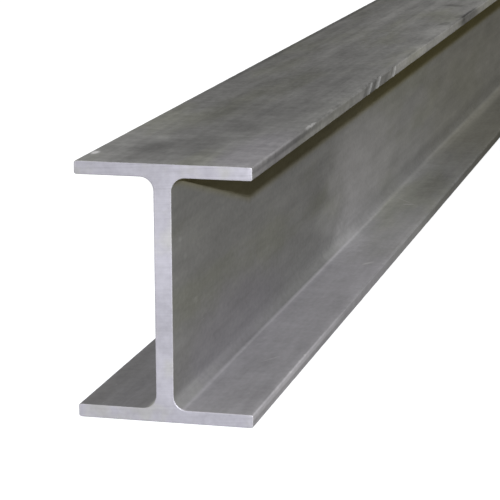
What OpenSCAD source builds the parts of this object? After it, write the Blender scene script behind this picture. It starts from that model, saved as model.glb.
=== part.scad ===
// Rolled steel I-beam, one length of bare structural stock.
// Parallel flanges, filleted web roots, eased flange toes, and square sawn ends that are deburred.
// The beam lies along Y and stands on its lower flange. The origin is under the middle of that flange.

/* [Section] */
// Overall depth of the section, over both flanges
depth = 150; // [110:1:300]
// Width of each flange, toe to toe
flange_w = 104; // [80:1:200]
// Thickness of each flange, the same from root to toe
flange_t = 7.8; // [6:0.1:20]
// Thickness of the web
web_t = 10.5; // [5:0.1:20]
// Radius of the fillet where the web runs into a flange
root_r = 8; // [3:0.5:20]
// Radius that eases the long edges of the flange toes
toe_r = 1.2; // [1.1:0.1:2.5]

/* [Stock] */
// Length that the beam is sawn to
length = 2000; // [300:10:12000]
// Leg of the small bevel left by deburring the sawn edges
deburr = 0.6; // [0.3:0.1:0.8]

/* [Finish] */
// Colour of the bare mill surface
steel_colour = "dimgray"; // [dimgray, gray, slategray, darkgray]

/* [Hidden] */
$fn = 96;

web_face = web_t / 2;
toe_face = flange_w / 2;
// Heights above the middle of the web, because the section is the same above and below it
outer_face = depth / 2;
inner_face = outer_face - flange_t;
root_height = inner_face - root_r;
root_reach = web_face + root_r;
toe_reach = toe_face - toe_r;
// How far a cutter runs clear of the faces that it cuts
spare = deburr / 3;

// Copies its children to the other side of the plane with this normal.
module both_sides(normal) {
    children();
    mirror(normal) children();
}

// The concave corner of the section that a fillet fills, and the corner that easing a toe takes off.
module corner(r) {
    difference() {
        square(r);
        translate([r, r]) circle(r);
    }
}

// One flange of the section above the web, with its four toe edges eased.
module flange_section() {
    difference() {
        translate([-toe_face, inner_face]) square([flange_w, flange_t]);
        both_sides([1, 0]) {
            translate([toe_face, outer_face]) rotate(180) corner(toe_r);
            translate([toe_face, inner_face]) rotate(90) corner(toe_r);
        }
    }
}

// The whole section: two flanges, the web between them and the four root fillets.
module section() {
    both_sides([0, 1]) {
        flange_section();
        both_sides([1, 0]) translate([web_face, inner_face]) rotate(-90) corner(root_r);
    }
    square([web_t, 2 * inner_face], center = true);
}

// Profile of the deburring cut. X points out of the face, Y into the beam from its sawn end.
module bite() {
    polygon([
        [-deburr - spare, -spare],
        [spare, -spare],
        [spare, deburr + spare]
    ]);
}

// Deburrs a straight edge from one point of the section to the next, with the steel on its left.
module straight_bite(from, to) {
    run = to - from;
    translate(from) rotate(atan2(run.y, run.x)) rotate([90, 0, 90])
        linear_extrude(norm(run)) mirror([1, 0]) bite();
}

// Deburrs a quarter round of the section, with the steel inside its radius.
module toe_bite(centre, start) {
    translate(centre) rotate(start)
        rotate_extrude(angle = 90) translate([toe_r, 0]) bite();
}

// Deburrs a quarter round of the section, with the steel outside its radius.
module root_bite(centre, start) {
    translate(centre) rotate(start)
        rotate_extrude(angle = 90) translate([root_r, 0]) mirror([1, 0]) bite();
}

// The deburring cut round a quarter of a sawn end, from mid flange to mid web.
module quarter_deburr() {
    straight_bite([toe_reach, outer_face], [0, outer_face]);
    toe_bite([toe_reach, outer_face - toe_r], 0);
    straight_bite([toe_face, inner_face + toe_r], [toe_face, outer_face - toe_r]);
    toe_bite([toe_reach, inner_face + toe_r], -90);
    straight_bite([root_reach, inner_face], [toe_reach, inner_face]);
    root_bite([root_reach, root_height], 90);
    straight_bite([web_face, 0], [web_face, root_height]);
}

// The deburring cut round a whole sawn end, which lies in the XY plane.
module end_deburr() {
    both_sides([1, 0, 0]) both_sides([0, 1, 0]) quarter_deburr();
}

// The beam standing on end, with its section in the XY plane, sawn and deburred at both ends.
module upright_beam() {
    difference() {
        linear_extrude(length, center = true) section();
        both_sides([0, 0, 1]) translate([0, 0, -length / 2]) end_deburr();
    }
}

// The beam laid along Y, on its lower flange.
module i_beam() {
    color(steel_colour) translate([0, 0, outer_face]) rotate([90, 0, 0]) upright_beam();
}

i_beam();
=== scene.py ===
from math import pi, radians
from types import SimpleNamespace

import bmesh
import bpy
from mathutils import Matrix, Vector


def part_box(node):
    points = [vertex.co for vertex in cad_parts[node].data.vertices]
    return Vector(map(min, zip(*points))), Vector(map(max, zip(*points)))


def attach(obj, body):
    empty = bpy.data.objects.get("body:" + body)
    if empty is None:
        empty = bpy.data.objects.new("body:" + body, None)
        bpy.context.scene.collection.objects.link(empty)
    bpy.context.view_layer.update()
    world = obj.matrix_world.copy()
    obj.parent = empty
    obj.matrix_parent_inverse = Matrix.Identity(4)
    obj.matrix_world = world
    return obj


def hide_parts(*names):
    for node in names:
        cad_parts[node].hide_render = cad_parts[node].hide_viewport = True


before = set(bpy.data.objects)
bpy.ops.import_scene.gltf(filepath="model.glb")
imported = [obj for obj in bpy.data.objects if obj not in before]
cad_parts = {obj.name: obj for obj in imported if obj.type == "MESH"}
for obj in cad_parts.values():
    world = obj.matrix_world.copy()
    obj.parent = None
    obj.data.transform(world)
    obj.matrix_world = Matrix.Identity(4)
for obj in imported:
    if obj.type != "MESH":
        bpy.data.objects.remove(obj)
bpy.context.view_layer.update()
low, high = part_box("i_beam")
length = high.y - low.y
depth = high.z - low.z
halfWidth = (high.x - low.x) / 2
flangeThick = 0.0078
lowInner = low.z + flangeThick  # heights of the inner faces of the flanges
highInner = high.z - flangeThick
print("frame loaded, beam", [round(side, 4) for side in high - low])


def fromFront(where):  # a place given from the foot of the sawn end in front
    return (where[0], low.y + where[1], low.z + where[2])


# Selecting and shaping by hand

def deselectAll():
    for other in bpy.context.selected_objects:
        other.select_set(False)


def near(value, target, slack=1e-5):
    return abs(value - target) < slack


def pick(kind, test):  # selects the edges or faces of the open mesh that pass the test
    bpy.ops.mesh.select_mode(type=kind)
    bpy.ops.mesh.select_all(action="DESELECT")
    shape = bmesh.from_edit_mesh(bpy.context.object.data)
    for part in shape.edges if kind == "EDGE" else shape.faces:
        if test(part):
            part.select_set(True)
    shape.select_flush_mode()
    bmesh.update_edit_mesh(bpy.context.object.data)


def cutAcross(point, normal):  # adds a ring of edges where a plane meets the whole mesh
    bpy.ops.mesh.select_all(action="SELECT")
    bpy.ops.mesh.bisect(plane_co=point, plane_no=normal)


def applyModifier(piece, modifier):
    bpy.context.view_layer.objects.active = piece
    bpy.ops.object.modifier_apply(modifier=modifier.name)


# Shader maths

class Wire:  # one socket of a material, which takes part in sums like a number
    def __init__(self, tree, socket):
        self.tree = tree
        self.socket = socket

    def node(self, kind, settings, inputs, out=0):
        made = self.tree.nodes.new(kind)
        for name, value in settings.items():
            if name == "stops":
                self.setStops(made.color_ramp, value)
            else:
                setattr(made, name, value)
        for name, value in inputs.items():
            if isinstance(value, Wire):
                self.tree.links.new(value.socket, made.inputs[name])
            else:
                made.inputs[name].default_value = value
        return Wire(self.tree, made.outputs[out])

    def setStops(self, ramp, stops):  # stops are (place, grey) pairs
        ramp.interpolation = "B_SPLINE"
        while len(ramp.elements) < len(stops):
            ramp.elements.new(0.5)
        for element, (place, grey) in zip(ramp.elements, stops):
            element.position = place
            element.color = (grey, grey, grey, 1)

    def maths(self, operation, first, second):
        return self.node("ShaderNodeMath", {"operation": operation}, {0: first, 1: second})

    def __add__(self, other):
        return self.maths("ADD", self, other)

    def __radd__(self, other):
        return self.maths("ADD", other, self)

    def __sub__(self, other):
        return self.maths("SUBTRACT", self, other)

    def __rsub__(self, other):
        return self.maths("SUBTRACT", other, self)

    def __mul__(self, other):
        return self.maths("MULTIPLY", self, other)

    def __rmul__(self, other):
        return self.maths("MULTIPLY", other, self)

    def __abs__(self):
        return self.maths("ABSOLUTE", self, 0)


def newMaterial(name):
    material = bpy.data.materials.new(name)
    material.use_nodes = True
    return material, material.node_tree.nodes["Principled BSDF"]


def coordinates(tree, kind):  # Object is a piece's own place in metres, Generated a direction of the sky
    return Wire(tree, tree.nodes.new("ShaderNodeTexCoord").outputs[kind])


def feed(shader, socket, wire):
    wire.tree.links.new(wire.socket, shader.inputs[socket])


def setSockets(shader, values):  # values that are the same all over
    for name, value in values.items():
        shader.inputs[name].default_value = value


def split(place):
    return [place.node("ShaderNodeSeparateXYZ", {}, {0: place}, out=axis) for axis in "XYZ"]


def fade(value, zero, one):  # 0 at the first number, 1 at the second, smooth between
    return value.node("ShaderNodeMapRange", {"interpolation_type": "SMOOTHSTEP"},
                      {"Value": value, "From Min": zero, "From Max": one})


def cloud(place, size, stretch=(1, 1, 1), detail=3, shift=(0, 0, 0)):  # noise, its grain in metres
    moved = place.node("ShaderNodeMapping", {}, {"Vector": place, "Location": shift, "Scale": stretch})
    return moved.node("ShaderNodeTexNoise", {},
                      {"Vector": moved, "Scale": 1 / size, "Detail": detail, "Roughness": 0.55})


def clouds(place, table):
    return {name: cloud(place, **settings) for name, settings in table.items()}


def weigh(noise, weights):  # noises added up, each about its middle
    return sum((noise[name] - 0.5) * weight for name, weight in weights.items())


def wobble(place, size, amount):  # the same coordinates, pushed about by noise
    noise = place.node("ShaderNodeTexNoise", {},
                       {"Vector": place, "Scale": 1 / size, "Detail": 4.0}, out="Color")
    push = place.node("ShaderNodeVectorMath", {"operation": "SUBTRACT"}, {0: noise, 1: (0.5, 0.5, 0.5)})
    return place.node("ShaderNodeVectorMath", {"operation": "MULTIPLY_ADD"},
                      {0: push, 1: (amount, amount, amount), 2: place})


def curve(value, stops):  # a smooth curve that follows (place, grey) stops
    return value.node("ShaderNodeValToRGB", {"stops": stops}, {"Fac": value})


def tint(mask, under, over):  # the second colour where the mask is 1
    return mask.node("ShaderNodeMix", {"data_type": "RGBA"}, {0: mask, 6: under, 7: over}, out=2)


def shadeBy(colour, tone):  # a colour made darker or lighter
    return colour.node("ShaderNodeVectorMath", {"operation": "SCALE"}, {0: colour, "Scale": tone})


def spot(place, where, reach, turn=(0, 0, 0), core=0.35):
    # an oval patch, 1 within its core, a share of its reach, and 0 outside its reach
    local = place.node("ShaderNodeMapping", {"vector_type": "TEXTURE"},
                       {"Vector": place, "Location": fromFront(where), "Scale": reach,
                        "Rotation": [radians(angle) for angle in turn]})
    far = local.node("ShaderNodeVectorMath", {"operation": "LENGTH"}, {0: local}, out="Value")
    return fade(far, 1.0, core)


def marks(place, rows, axis=2):  # patches added up, turned about Z unless another axis is given
    total = 0
    for where, reach, turn, strength in rows:
        turns = [0, 0, 0]
        turns[axis] = turn
        total = total + spot(place, where, reach, turns) * strength
    return total


def within(value, limit):  # a limit is where it is 0 and 1, or a middle and how far from it that is
    if len(limit) == 3:
        return fade(abs(value - limit[0]), limit[1], limit[2])
    return fade(value, limit[0], limit[1])


def zones(at, rows):  # parts of surfaces added up, each fading out at its limits
    total = 0
    for surface, limits, strength in rows:
        inside = getattr(at, surface) * strength
        for name, limit in limits.items():
            inside = within(getattr(at, name), limit) * inside
        total = total + inside
    return total


def bumped(shader, height, bump):
    feed(shader, "Normal", height.node("ShaderNodeBump", {}, {**bump, "Height": height}))


# The mill skin, the dull grey surface that the rolls leave

millSkin = {
    "grey": (0.282, 0.285, 0.290, 1),
    "olive": (0.268, 0.273, 0.256, 1),
    "lavender": (0.282, 0.279, 0.302, 1),
    "dusk": (0.264, 0.263, 0.240, 1),
    # painted shade: an olive darkening under the upper flange on the right, laid over the key lamp's real
    # shadow
    "paintedShade": (0.220, 0.204, 0.118, 1),
    "bare": (0.74, 0.74, 0.76, 1),
    "roughness": 0.60,
    "roughnessSpread": 0.30,  # how much blotches change it
    "specular": 0.0,
    "bump": {"Strength": 0.5, "Distance": 0.0003},
    "sheenTone": 0.24,
    "sheenMetallic": 0.08,
    "bareMetallic": 0.4,
    "bareSmoother": 0.15,
    "fleckStrength": 0.12,
    "finePush": (0.004, 0.002),  # size and amount of the wobble of fine marks
    "broadPush": (0.014, 0.018),  # and of smudges

    # noises, with their grain in metres
    "noises": {
        "border": {"size": 0.045, "stretch": (1, 0.6, 1), "detail": 4},
        "paleBorder": {"size": 0.022, "stretch": (1, 0.5, 1), "shift": (7, 3, 1)},
        "blotch": {"size": 0.011, "stretch": (1, 0.20, 1), "detail": 4, "shift": (3, 1, 7)},
        "smear": {"size": 0.034, "stretch": (1, 0.16, 1), "shift": (5, 2, 8)},
        "streak": {"size": 0.004, "stretch": (1, 0.015, 1), "detail": 2, "shift": (1, 5, 2)},
        "grain": {"size": 0.0028, "stretch": (1, 0.5, 1)},
        "wiped": {"size": 0.010, "stretch": (0.35, 1, 1), "shift": (6, 6, 1)},
        "hue": {"size": 0.040, "stretch": (1, 0.2, 1), "detail": 4, "shift": (9, 4, 2)},
        "flecks": {"size": 0.0022, "stretch": (1, 0.4, 1), "detail": 2, "shift": (2, 8, 3)},
    },
    "along": {"border": 0.16},  # how far the borders of zones wander, in metres
    "paleAlong": {"paleBorder": 0.13},
    "uneven": {"blotch": 0.80, "smear": 0.70, "streak": 0.35, "grain": 0.60},  # share of each in the tone
    "wiped": {"wiped": 1.0},
    "relief": {"blotch": 0.40, "grain": 0.30, "streak": 0.40},  # and in the bump
    "oliveFrom": (0.46, 0.66),  # noise at which the olive cast starts and is full
    "rubbedFrom": (0.62, 0.90),
    "flecksFrom": (0.71, 0.79),

    # borders of the surfaces, where each is 0 and where it is 1, in metres
    "borders": {
        "rightSide": (-0.004, 0.004),
        "lowFlange": (lowInner + 0.0012, lowInner + 0.0002),
        "topFlange": (highInner - 0.0007, highInner + 0.0008),
        "fillet": (0.0165, 0.0125),
        "webFootLow": (0.0082, 0.0098),
        "webFootHigh": (0.0260, 0.0120),
        "toe": (halfWidth - 0.0014, halfWidth - 0.0006),
        "rim": (halfWidth - 0.0060, halfWidth - 0.0035),
        "paleStart": (0.38, 0.49),
        "paleEnd": (0.80, 0.48),
        "paleHeight": (0.120, 0.060),
        "shade": (-0.0040, 0.0035),
    },
    "shadeStart": 0.1405,  # height of the lower edge of the shade at the front end
    "shadeSlope": 0.25,
    "shadeFoot": 0.0965,  # and its height further along

    # half the tone of each face, as stops at metres from the front end, before its zones and marks
    "lowTone": [(0, 0.75), (0.22, 0.76), (0.40, 0.95), (0.62, 0.71), (0.80, 0.61), (1, 0.57)],
    "webTone": [(0, 0.555), (0.28, 0.525), (0.44, 0.57), (0.60, 0.705), (0.78, 0.775), (1, 0.75)],
    "topTone": 0.40,
    "palerWeb": 0.255,  # added in the pale part of the web

    # zones, each with its surface, its limits in metres and its strength
    "topZones": [
        ("skin", {"x": (0.030, 0.050)}, 0.06),  # beside the right toe
        ("skin", {"x": (0, 0.046), "along": (0.22, 0.50)}, 0.035),
        ("skin", {"along": (0.035, 0.008)}, 0.06),  # at the sawn edge
        ("skin", {"x": (-0.018, -0.046), "fromEnd": (0.30, 0.12)}, 0.11),  # front left corner
        ("skin", {"along": (0.30, 0.60)}, 0.02),  # further along, and more so on the right
        ("skin", {"along": (0.50, 0.95)}, 0.02),
        ("skin", {"along": (0.30, 0.60), "x": (-0.040, 0.010)}, 0.03),
        ("skin", {"along": (0.50, 0.95), "x": (-0.040, 0.010)}, 0.03),
    ],
    "lowZones": [  # the left side of the lower flange
        ("leftSide", {}, -0.10),
        ("leftSide", {"fromEnd": (0.40, 0.12)}, -0.36),
    ],
    "toeZones": [
        ("toe", {}, -0.08),
        ("toe", {"fromEnd": (0.16, 0.06), "up": (0.0042, 0.0008)}, 0.28),  # near the front
        ("toe", {"fromEnd": (0.34, 0.10), "up": (0.0032, 0.0052)}, 0.42),
        ("lowToe", {"fromEnd": (0.12, 0.30)}, -0.10),
        ("topToe", {"up": (0, 0.0012), "fromEnd": (0.10, 0.17)}, 0.44),  # polished by handling
        ("topToe", {"up": (0, 0.0012), "fromEnd": (0.39, 0.46)}, 0.42),
        ("topToe", {"up": (0, 0.0012), "fromEnd": (0.36, 0.06, 0.03)}, -0.24),  # among the dents
        ("rim", {}, 0.02),
        # painted shade: the left edge of the upper flange, darker further along, where its rounded toe
        # turns away from the key
        ("topFlange", {"x": (0.0070 - halfWidth, 0.0038 - halfWidth), "fromEnd": (0.18, 0.40)}, -0.26),
    ],
    "filletZones": [
        ("fillet", {}, -0.04),
        ("fillet", {"fromEnd": (0.12, 0.03)}, 0.19),
        # paler lines where a fillet runs out into the flange and into the web
        ("skin", {"across": (0.0108, 0.0013, 0.0003), "up": (0.0083, 0.0012, 0.0006),
                  "fromEnd": (0.90, 0.35)}, 0.11),
        ("skin", {"up": (0.0125, 0.0012, 0.0004), "across": (0.0082, 0.0068),
                  "fromEnd": (0.20, 0.05)}, 0.044),
    ],
    "footZones": [  # where the web and the flange shade into each other, far along
        ("skin", {"across": (0.0120, 0.0062, 0.0020), "up": (0.0104, 0.0090),
                  "fromEnd": (0.42, 0.72)}, 0.15),
        ("lowFlange", {"across": (0.0142, 0.0075, 0.0020), "fromEnd": (0.84, 1.16)}, 0.30),
        ("webFoot", {"fromEnd": (0.42, 0.72)}, -0.19),
        ("webFoot", {"fromEnd": (0.75, 1.20)}, -0.05),
        ("lowFlange", {"across": (0.034, 0.016), "fromEnd": (0.42, 0.56)}, 0.13),
    ],
    "unevenZones": [
        ("skin", {}, 0.48),
        ("topFlange", {}, 0.12),
        ("topFlange", {"fromEnd": (0.12, 0.30)}, 0.22),
    ],
    "wipedZones": [
        ("topFlange", {"fromEnd": (0.50, 0.10)}, 0.45),
        ("lowFlange", {}, 0.20),
    ],
    # how the tone of the painted shade under the upper flange changes: lighter near the front end, darker
    # further along
    "shadeZones": [
        ("shaded", {"fromEnd": (0.22, 0.06)}, 0.32),
        ("shaded", {"fromEnd": (0.30, 0.55)}, -0.08),
    ],
    "bluishZones": [
        ("lowFlange", {"along": (0.60, 0.35)}, 0.70),
        ("rightLow", {"along": (0.60, 0.35)}, 0.30),
        ("paleWeb", {}, 0.45),
    ],
    "duskZones": [
        ("lowFlange", {"along": (0.75, 1.00)}, 1.0),
        ("web", {"along": (0.75, 1.00)}, 0.6),
    ],
    # painted shade under the upper flange, full further along
    "paintedShadeZones": [
        ("shaded", {}, 0.75),
        ("shaded", {"fromEnd": (0.40, 0.80)}, 0.25),
    ],
    "glossZones": [("rightLow", {"along": (0.80, 0.35)}, 0.16)],
    "rubbedZones": [  # the eased edges of the toes
        ("skin", {"up": (flangeThick / 2, flangeThick / 2 - 0.0018, flangeThick / 2 - 0.0007),
                  "across": (halfWidth - 0.0024, halfWidth - 0.0010)}, 0.08),
    ],

    # marks, each with its place from the foot of the sawn end in front, reach, turn in degrees and strength
    "smudges": [  # broad darker and paler patches
        ((-0.020, 0.050, 0.150), (0.018, 0.024, 0.01), 0, -0.18),
        ((-0.022, 0.088, 0.150), (0.018, 0.018, 0.01), 0, 0.14),
        ((0.000, 0.075, 0.150), (0.018, 0.036, 0.01), 0, -0.10),
        ((0.009, 0.140, 0.150), (0.018, 0.040, 0.01), 0, -0.07),
        ((0.012, 0.205, 0.150), (0.018, 0.050, 0.01), 0, -0.09),
        ((-0.020, 0.216, 0.150), (0.018, 0.065, 0.01), 0, -0.09),
        ((-0.005, 0.340, 0.150), (0.025, 0.110, 0.01), 0, -0.08),
        ((0.035, 0.042, 0.150), (0.026, 0.110, 0.01), 0, 0.25),
        ((-0.040, 0.140, 0.150), (0.016, 0.080, 0.01), 0, 0.10),
        ((0.045, 0.650, 0.150), (0.012, 0.080, 0.01), 0, 0.18),
        ((0.052, 0.545, 0.147), (0.006, 0.030, 0.01), 0, 0.26),
        ((0.045, 0.705, 0.150), (0.007, 0.022, 0.01), 0, -0.36),
        ((0.049, 0.765, 0.150), (0.005, 0.022, 0.01), 0, -0.30),
        ((0.030, 0.850, 0.150), (0.013, 0.014, 0.01), 0, -0.34),
        ((0.038, 0.710, 0.0078), (0.018, 0.090, 0.0100), 0, -0.24),
        ((0.012, 0.445, 0.0090), (0.016, 0.075, 0.0200), 0, 0.40),
    ],
    "dentShades": [  # painted shade: dark strokes beside the dents of the right upper toe, standing in for the shaded walls of the dents, turned about X as the dents are
        ((0.0520, 0.319, 0.1462), (0.0040, 0.0026, 0.0160), -62, -0.26),
        ((0.0520, 0.351, 0.1462), (0.0040, 0.0026, 0.0160), -62, -0.24),
        ((0.0520, 0.398, 0.1462), (0.0040, 0.0036, 0.0180), -62, -0.14),
    ],
    "fineMarks": [  # dirt on the right upper toe, then paler spots
        ((0.0530, 0.110, 0.1477), (0.0030, 0.1100, 0.0024), 0, -0.20),
        ((0.0530, 0.240, 0.1460), (0.0040, 0.0900, 0.0080), 0, -0.06),
        ((0.0520, 0.795, 0.1460), (0.0040, 0.0750, 0.0080), 0, -0.95),
        ((-0.0240, 0.086, 0.1500), (0.0060, 0.0070, 0.0100), 0, 0.16),
        ((-0.0140, 0.096, 0.1500), (0.0120, 0.0050, 0.0100), 0, 0.10),
        ((0.0050, 0.014, 0.0640), (0.0100, 0.0320, 0.0300), 0, 0.05),
        ((0.0050, 0.412, 0.0370), (0.0100, 0.0600, 0.0150), 0, 0.22),
    ],
    "sheens": [  # small spots of the web with a painted sheen that makes them paler, and a little metal gloss
        ((0.005, 0.017, 0.104), (0.01, 0.005, 0.002), 0, 0.6),
        ((0.005, 0.027, 0.092), (0.01, 0.005, 0.003), 0, 0.5),
        ((0.005, 0.048, 0.061), (0.01, 0.007, 0.003), 0, 0.7),
    ],
    "scratches": [  # bright strokes and flecks
        ((-0.0480, 0.0275, 0.150), (0.0030, 0.0075, 0.002), 0, 0.7),
        ((0.0515, 0.0480, 0.150), (0.0012, 0.0120, 0.002), 0, 0.1),
        ((0.0513, 0.1500, 0.150), (0.0014, 0.0200, 0.002), 0, 0.4),
        ((0.0508, 0.2080, 0.150), (0.0018, 0.0120, 0.002), 0, 0.1),
        ((0.0515, 0.0950, 0.0076), (0.0012, 0.0035, 0.0014), 0, 0.5),
        ((0.0515, 0.1200, 0.0076), (0.0014, 0.0035, 0.0014), 0, 0.4),
        ((0.0512, 0.1350, 0.0078), (0.0012, 0.0035, 0.0012), 0, 0.5),
        ((0.0395, 0.396, 0.008), (0.0030, 0.0085, 0.004), -26, 0.7),
        ((0.0230, 0.637, 0.008), (0.0012, 0.0210, 0.004), 36, 0.25),
        ((0.0295, 0.622, 0.008), (0.0026, 0.0070, 0.004), -77, 0.4),
        ((0.0330, 0.120, 0.008), (0.0008, 0.0120, 0.004), -28, 0.3),
    ],
    "bluishSpots": [  # size and amount of the wobble, place and reach
        ((0.03, 0.03), (0.005, 0.13, 0.025), (0.02, 0.19, 0.040)),
        ((0.02, 0.02), (0.042, 0.05, 0.150), (0.022, 0.11, 0.020)),
    ],
}


def locate(place, noise):  # where a point lies, in metres, and on which surfaces, as 0 to 1
    x, y, z = split(place)
    at = SimpleNamespace(x=x, across=abs(x), skin=1)
    at.fromEnd = y - low.y  # from the sawn end in front
    at.along = at.fromEnd + weigh(noise, millSkin["along"])
    at.up = depth / 2 - abs(z - depth / 2)  # inwards from the outer face of the nearer flange

    border = millSkin["borders"]
    at.rightSide = fade(x, *border["rightSide"])
    at.leftSide = 1 - at.rightSide
    at.lowFlange = fade(z, *border["lowFlange"])
    at.topFlange = fade(z, *border["topFlange"])
    at.rightLow = at.lowFlange * at.rightSide
    at.web = (1 - at.lowFlange) * (1 - at.topFlange)
    at.fillet = fade(at.up, *border["fillet"]) * at.web
    at.webFoot = fade(at.up, *border["webFootLow"]) * fade(at.up, *border["webFootHigh"])
    at.toe = fade(at.across, *border["toe"])
    at.lowToe = at.toe * at.lowFlange
    at.topToe = at.toe * at.topFlange
    at.rim = fade(at.across, *border["rim"]) * (1 - at.toe)

    # the pale middle of the web, and the painted shade under the upper flange, which widens from the front
    # end as the key lamp's shadow does
    paleAlong = at.fromEnd + weigh(noise, millSkin["paleAlong"])
    pale = fade(paleAlong, *border["paleStart"]) * fade(paleAlong, *border["paleEnd"])
    at.paleWeb = pale * fade(z, *border["paleHeight"]) * at.web
    widening = millSkin["shadeStart"] - at.fromEnd * millSkin["shadeSlope"]
    shadeEdge = widening.maths("MAXIMUM", widening, millSkin["shadeFoot"])
    at.shaded = fade(z - shadeEdge, *border["shade"]) * at.web * at.rightSide
    return at


def skinTone(at):  # how light the skin is, before its marks
    lowTone = curve(at.along, millSkin["lowTone"]) * (1 + zones(at, millSkin["lowZones"]))
    webTone = curve(at.along, millSkin["webTone"])
    topTone = millSkin["topTone"] + zones(at, millSkin["topZones"])
    tone = lowTone * at.lowFlange + webTone * at.web + topTone * at.topFlange
    tone = 2 * (tone + at.paleWeb * millSkin["palerWeb"])  # the stops hold half of it
    for table in ("toeZones", "filletZones", "footZones"):
        tone = tone * (1 + zones(at, millSkin[table]))
    return tone


def skinUneven(at, noise):  # blotches, rolling streaks, fine grain and wiped strokes, strongest on top
    uneven = 1 + weigh(noise, millSkin["uneven"]) * zones(at, millSkin["unevenZones"])
    return uneven * (1 + weigh(noise, millSkin["wiped"]) * zones(at, millSkin["wipedZones"]))


def skinColour(at, place, noise):  # greenish, bluish and brown casts, and painted shade under the upper flange, an olive darkening over the key's own shadow
    greenish = fade(noise["hue"], *millSkin["oliveFrom"]) * (1 - at.paleWeb)
    colour = tint(greenish, millSkin["grey"], millSkin["olive"])
    bluish = zones(at, millSkin["bluishZones"])
    for push, where, reach in millSkin["bluishSpots"]:
        bluish = bluish + spot(wobble(place, *push), where, reach)
    colour = tint(bluish, colour, millSkin["lavender"])
    colour = tint(zones(at, millSkin["duskZones"]), colour, millSkin["dusk"])
    # the painted shade under the upper flange
    return tint(zones(at, millSkin["paintedShadeZones"]), colour, millSkin["paintedShade"])


def paintMillSkin():
    material, shader = newMaterial("millSkin")
    place = coordinates(material.node_tree, "Object")
    noise = clouds(place, millSkin["noises"])
    at = locate(place, noise)
    fine = wobble(place, *millSkin["finePush"])
    broad = wobble(place, *millSkin["broadPush"])
    # painted sheen of the web, with a little metal gloss
    sheen = marks(fine, millSkin["sheens"])

    tone = skinTone(at) + sheen * millSkin["sheenTone"] + marks(broad, millSkin["smudges"])
    # fine marks, and painted shade beside the dents
    tone = tone + marks(fine, millSkin["fineMarks"]) + marks(fine, millSkin["dentShades"], axis=0)
    tone = tone * skinUneven(at, noise) * (1 + zones(at, millSkin["shadeZones"]))
    colour = shadeBy(skinColour(at, place, noise), tone)

    # bare steel where the skin is rubbed through
    patchy = fade(noise["blotch"] + noise["grain"] * 0.5, *millSkin["rubbedFrom"])
    flecks = fade(noise["flecks"], *millSkin["flecksFrom"])
    bare = zones(at, millSkin["rubbedZones"]) * patchy + flecks * millSkin["fleckStrength"]
    bare = bare + marks(fine, millSkin["scratches"])
    bare = bare.node("ShaderNodeClamp", {}, {"Value": bare})

    roughness = millSkin["roughness"] + (noise["blotch"] - 0.5) * millSkin["roughnessSpread"]
    metallic = zones(at, millSkin["glossZones"]) + sheen * millSkin["sheenMetallic"]
    feed(shader, "Base Color", tint(bare, colour, millSkin["bare"]))
    feed(shader, "Roughness", roughness - bare * millSkin["bareSmoother"])
    feed(shader, "Metallic", metallic + bare * millSkin["bareMetallic"])
    setSockets(shader, {"Specular IOR Level": millSkin["specular"]})
    bumped(shader, weigh(noise, millSkin["relief"]), millSkin["bump"])
    return material


# The sawn ends

sawnEnd = {
    "grey": (0.346, 0.345, 0.362, 1),
    "lavender": (0.340, 0.336, 0.388, 1),
    # the broken edge: bright deburred steel with a painted highlight
    "rim": (0.50, 0.50, 0.52, 1),
    "roughness": 0.48,
    "roughnessSpread": 0.3,
    "metallic": 0.30,
    "bump": {"Strength": 0.5, "Distance": 0.00012},
    "sawTilt": 4,  # degrees that the saw lines lean
    "sawLines": {"size": 0.0009, "stretch": (0.02, 1, 1)},
    "noises": {
        "patch": {"size": 0.010, "detail": 4},
        "hue": {"size": 0.018, "shift": (4, 0, 6)},
        "grit": {"size": 0.0030, "shift": (1, 0, 2)},
    },
    "tone": 0.99,
    "uneven": {"sawLine": 0.30, "patch": 0.34, "grit": 0.30},  # share of each in the tone
    "lavenderFrom": (0.34, 0.56),  # noise at which the bluish cast starts and is full
    "rimDepth": (0.00005, 0.00025),  # metres from the end face at which the rim starts and is full
    "rimAcross": (0.014, 0.040),  # it brightens from here to here, towards the toes
    "rimWeb": 0.12,
    "rimToe": 0.48,  # added at the toes
    "patches": [  # paler and darker places of the end in front, as on the mill skin
        ((0, 0, 0.096), (0.030, 0.02, 0.036), 0, 0.11),
        ((0, 0, 0.063), (0.030, 0.02, 0.018), 0, -0.05),
        ((0, 0, 0.027), (0.030, 0.02, 0.020), 0, 0.06),
        ((-0.030, 0, 0.004), (0.045, 0.02, 0.020), 0, -0.06),
        ((0.042, 0, 0.004), (0.035, 0.02, 0.020), 0, -0.05),
        ((-0.036, 0, 0.146), (0.050, 0.02, 0.020), 0, -0.14),
        ((0.048, 0, 0.146), (0.024, 0.02, 0.020), 0, 0.08),
    ],
}


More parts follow.
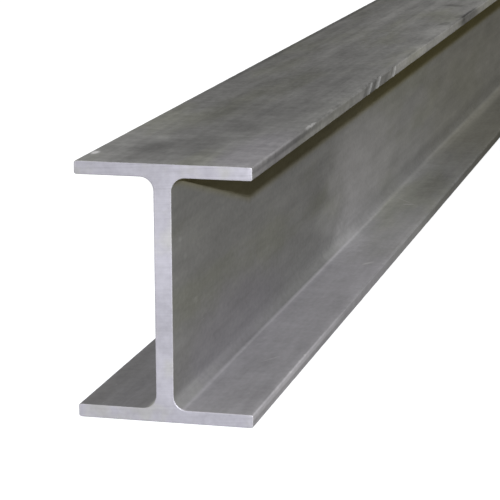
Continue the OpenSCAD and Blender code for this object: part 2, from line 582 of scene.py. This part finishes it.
def paintSawnEnd():
    material, shader = newMaterial("sawnEnd")
    place = coordinates(material.node_tree, "Object")
    x, y = split(place)[:2]
    tilted = place.node("ShaderNodeMapping", {},
                        {"Vector": place, "Rotation": (0, radians(sawnEnd["sawTilt"]), 0)})
    noise = clouds(place, sawnEnd["noises"])
    noise["sawLine"] = cloud(tilted, **sawnEnd["sawLines"])
    tone = sawnEnd["tone"] + weigh(noise, sawnEnd["uneven"]) + marks(place, sawnEnd["patches"])
    bluish = fade(noise["hue"], *sawnEnd["lavenderFrom"])
    colour = shadeBy(tint(bluish, sawnEnd["grey"], sawnEnd["lavender"]), tone)
    # the broken edge round the end is painted paler, partly bright deburred steel and partly a painted
    # highlight, more so towards the toes
    bright = sawnEnd["rimWeb"] + fade(abs(x), *sawnEnd["rimAcross"]) * sawnEnd["rimToe"]
    brokenEdgeAndGlint = fade(length / 2 - abs(y), *sawnEnd["rimDepth"]) * bright
    roughness = sawnEnd["roughness"] + (noise["sawLine"] - 0.5) * sawnEnd["roughnessSpread"]
    feed(shader, "Base Color", tint(brokenEdgeAndGlint, colour, sawnEnd["rim"]))
    feed(shader, "Roughness", roughness)
    setSockets(shader, {"Metallic": sawnEnd["metallic"]})
    bumped(shader, noise["sawLine"], sawnEnd["bump"])
    return material


# The beam itself

beam = {
    "webThick": 0.0105,
    "rootRadius": 0.008,
    "rootSteps": 10,
    "toeRadius": 0.0012,
    "toeSteps": 3,
    "deburr": 0.0006,
    "deburrSteps": 2,
    "toeStrips": (0.0025, 0.006, 0.012),  # rows of faces beside each toe
    "webRows": 6,
    "stations": (25, 20),  # the length is cut in 25 pieces, and each of those in 20
    "longEdge": 0.016,  # what is shorter isn't cut
    "wearWidth": 0.00132,  # how far in from each toe the wear reaches
    "wearDepth": 0.0002,
    "wearGrain": 0.014,
    "wearDetail": 3,
    "smoothAngle": 32,
    "sawnFacing": 0.5,  # faces turned this much to an end, with part of the broken edge, look sawn
    "dentSteps": 4,  # fineness of the scoops
    # dents of the right upper toe: place from the foot of the front end, half sizes, lean in degrees
    "dents": [
        ((0.0528, 0.334, 0.1465), (0.0024, 0.0040, 0.018), 62),
        ((0.0528, 0.366, 0.1465), (0.0026, 0.0042, 0.019), 62),
        ((0.0528, 0.424, 0.1465), (0.0018, 0.0060, 0.020), 62),
    ],
}
halfWeb = beam["webThick"] / 2


def facesEnd(face, share=0.9):  # share of its normal that points along the beam
    return abs(face.normal.y) > share


def runsAlong(edge):
    start, stop = [corner.co for corner in edge.verts]
    return near(start.x, stop.x) and near(start.z, stop.z)


def isLong(edge):
    return runsAlong(edge) and edge.calc_length() > beam["longEdge"]


def isRoot(edge):
    corner = edge.verts[0].co
    inner = near(corner.z, lowInner) or near(corner.z, highInner)
    return runsAlong(edge) and inner and near(abs(corner.x), halfWeb)


def isToe(edge):
    return runsAlong(edge) and near(abs(edge.verts[0].co.x), halfWidth)


def isRim(edge):
    facing = [facesEnd(face) for face in edge.link_faces]
    return any(facing) and not all(facing)


def drawFlange(side):  # both flanges of one side are drawn out of the web block
    def onFlangeSide(face):
        height = face.calc_center_median().z
        return face.normal.x * side > 0.9 and not lowInner < height < highInner

    pick("FACE", onFlangeSide)
    bpy.ops.mesh.extrude_region_move(
        TRANSFORM_OT_translate={"value": (side * (halfWidth - halfWeb), 0, 0)})


def easeEdges():  # root fillets, eased toes, then the broken edge round each sawn end
    for test, offset, steps in ((isRoot, beam["rootRadius"], beam["rootSteps"]),
                                (isToe, beam["toeRadius"], beam["toeSteps"]),
                                (isRim, beam["deburr"], beam["deburrSteps"])):
        pick("EDGE", test)
        bpy.ops.mesh.bevel(offset=offset, segments=steps, affect="EDGES")


def cutRows():  # rows of faces for the wear to bite into
    for strip in beam["toeStrips"]:
        for side in (-1, 1):
            cutAcross((side * (halfWidth - strip), 0, 0), (1, 0, 0))
    for row in range(1, beam["webRows"]):
        cutAcross((0, 0, low.z + depth * row / beam["webRows"]), (0, 0, 1))
    for pieces in beam["stations"]:
        pick("EDGE", isLong)
        bpy.ops.mesh.subdivide(number_cuts=pieces - 1)


def wearToes(piece):  # uneven, and only inwards
    toes = [corner.index for corner in piece.data.vertices
            if abs(corner.co.x) > halfWidth - beam["wearWidth"]]
    worn = piece.vertex_groups.new(name="toes")
    worn.add(toes, 1.0, "REPLACE")
    ragged = bpy.data.textures.new("toeWear", type="CLOUDS")
    ragged.noise_scale = beam["wearGrain"]
    ragged.noise_depth = beam["wearDetail"]
    wear = piece.modifiers.new("toeWear", "DISPLACE")
    wear.texture = ragged
    wear.texture_coords = "LOCAL"
    wear.vertex_group = worn.name
    wear.mid_level = 1.0
    wear.strength = beam["wearDepth"]
    applyModifier(piece, wear)


def pressDents(piece):  # scoops shallow hollows out of the toe
    scoops = []
    for where, reach, lean in beam["dents"]:
        deselectAll()
        bpy.ops.mesh.primitive_ico_sphere_add(subdivisions=beam["dentSteps"], radius=1,
                                              location=fromFront(where))
        scoop = bpy.context.object
        scoop.scale = reach
        scoop.rotation_euler = (-radians(lean), 0, 0)
        bpy.ops.object.transform_apply(location=True, rotation=True, scale=True)
        scoops.append(scoop)
    for scoop in scoops:
        scoop.select_set(True)
    bpy.ops.object.join()
    cutter = bpy.context.object
    bite = piece.modifiers.new("dents", "BOOLEAN")
    bite.operation = "DIFFERENCE"
    bite.solver = "EXACT"
    bite.object = cutter
    applyModifier(piece, bite)
    bpy.data.objects.remove(cutter)


def modelBeam(materials):
    deselectAll()
    bpy.ops.mesh.primitive_cube_add(size=1, location=(0, (low.y + high.y) / 2, (low.z + high.z) / 2))
    piece = bpy.context.object
    piece.name = "rolled_beam"
    piece.scale = (beam["webThick"], length, depth)
    bpy.ops.object.transform_apply(location=True, rotation=True, scale=True)
    for material in materials:
        piece.data.materials.append(material)

    bpy.ops.object.mode_set(mode="EDIT")
    cutAcross((0, 0, lowInner), (0, 0, 1))
    cutAcross((0, 0, highInner), (0, 0, 1))
    drawFlange(-1)
    drawFlange(1)
    pick("FACE", facesEnd)
    bpy.ops.mesh.dissolve_faces()  # each end is one face
    easeEdges()
    cutRows()
    pick("FACE", lambda face: facesEnd(face, beam["sawnFacing"]))
    piece.active_material_index = 1
    bpy.ops.object.material_slot_assign()
    bpy.ops.object.mode_set(mode="OBJECT")
    wearToes(piece)
    pressDents(piece)

    bpy.ops.object.shade_smooth_by_angle(angle=radians(beam["smoothAngle"]))
    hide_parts("i_beam")
    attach(piece, "root")
    print("beam modelled,", len(piece.data.polygons), "faces")


skinAndEnds = [paintMillSkin(), paintSawnEnd()]
print("mill skin and sawn ends painted")
modelBeam(skinAndEnds)


# Floor, light and camera

studio = {
    "floorSize": 30.0,
    "floorGap": 0.0002,  # how far the floor lies under the beam
    "floorColour": (0.20, 0.183, 0.118, 1),  # what the floor throws back on the beam
    "floorShown": (0.90, 0.93, 1.0, 1),  # what the picture shows of it, where the beam's shadow lies
    "floorGlow": 0.70,  # added to what the picture shows, to make it white
    "fill": 0.37,  # strength of the sky overhead for everything but the picture
    "horizon": 0.35,  # share of that at the horizon
    "overhead": 0.5,  # height in the sky from which it is full, 1 being straight up
    "fillColour": (1.0, 0.96, 0.88, 1),
    "white": (1, 1, 1, 1),
    # the key stands beside the camera, so its light falls off along the beam
    "key": {
        "strength": 1.15,
        "place": (0.672, -2.40, 0.746),  # from the foot of the sawn end in front
        "aim": (0, 0.45, 0.08),
        "size": 0.046,
        "cone": 24,
        "blend": 0.2,
    },
    "back": {"strength": 0.65, "travel": (0.80, -0.60, -0.12), "angle": 12},  # for the far sides
    "lens": 157.54,
    "sensor": 36,
    "clipEnd": 100,
    "eye": (0.3432, -1.1508, 0.3657),  # from the foot of the sawn end in front
    "eyeTurn": (77.548, 0.252, 14.214),
}


def seenDirectly(tree):  # 1 for what the picture, gloss or glass shows, 0 for light that falls on the beam
    path = tree.nodes.new("ShaderNodeLightPath")
    straight, gloss, clear = [Wire(tree, path.outputs[f"Is {ray} Ray"])
                              for ray in ("Camera", "Glossy", "Transmission")]
    return straight.maths("MAXIMUM", straight.maths("MAXIMUM", straight, gloss), clear)


def layFloor():
    deselectAll()
    bpy.ops.mesh.primitive_plane_add(size=studio["floorSize"], location=(0, 0, low.z - studio["floorGap"]))
    floor = bpy.context.object
    floor.name = "floor"
    material, shader = newMaterial("paleFloor")
    setSockets(shader, {
        "Base Color": studio["floorShown"],
        "Roughness": 1.0,
        "Specular IOR Level": 0.0,
        "Emission Color": studio["white"],
        "Emission Strength": studio["floorGlow"],
    })
    tree = material.node_tree
    seen = seenDirectly(tree)
    dull = seen.node("ShaderNodeBsdfDiffuse", {}, {"Color": studio["floorColour"]})
    both = seen.node("ShaderNodeMixShader", {}, {0: seen, 1: dull, 2: Wire(tree, shader.outputs[0])})
    feed(tree.nodes["Material Output"], "Surface", both)
    floor.data.materials.append(material)


def lightSky():
    world = bpy.data.worlds.new("paleSky")
    bpy.context.scene.world = world
    world.use_nodes = True
    tree = world.node_tree
    sky = tree.nodes["Background"]
    seen = seenDirectly(tree)
    height = split(coordinates(tree, "Generated"))[2]
    overhead = fade(height, 0, studio["overhead"])
    fill = studio["fill"] * (studio["horizon"] + overhead * (1 - studio["horizon"]))
    feed(sky, "Color", tint(seen, studio["fillColour"], studio["white"]))
    feed(sky, "Strength", seen + (1 - seen) * fill)


def addLamp(name, kind, place, travel, energy):  # shines along its travel
    deselectAll()
    bpy.ops.object.light_add(type=kind, location=place)
    lamp = bpy.context.object
    lamp.name = name
    lamp.rotation_euler = Vector(travel).to_track_quat("-Z", "Y").to_euler()
    lamp.data.energy = energy
    return lamp.data


def hangKey():
    key = studio["key"]
    place = Vector(fromFront(key["place"]))
    reach = (place - Vector(fromFront((0, 0, depth / 2)))).length
    energy = key["strength"] * (2 * pi * reach) ** 2  # a strength of 1 shows a colour as written
    light = addLamp("key", "SPOT", place, Vector(fromFront(key["aim"])) - place, energy)
    light.shadow_soft_size = key["size"] / 2
    light.spot_size = radians(key["cone"])
    light.spot_blend = key["blend"]


def hangBack():
    back = studio["back"]
    nowhere = (0, 0, 0)  # a sun shines alike from any place
    light = addLamp("back", "SUN", nowhere, back["travel"], back["strength"] * pi)
    light.angle = radians(back["angle"])


def setCamera():
    deselectAll()
    bpy.ops.object.camera_add(location=fromFront(studio["eye"]),
                              rotation=[radians(angle) for angle in studio["eyeTurn"]])
    camera = bpy.context.object
    camera.name = "camera"
    camera.data.lens = studio["lens"]
    camera.data.sensor_width = studio["sensor"]
    camera.data.clip_end = studio["clipEnd"]
    bpy.context.scene.camera = camera


layFloor()
lightSky()
hangKey()
hangBack()
setCamera()
bpy.context.scene.view_settings.view_transform = "Standard"
print("floor, light and camera set")
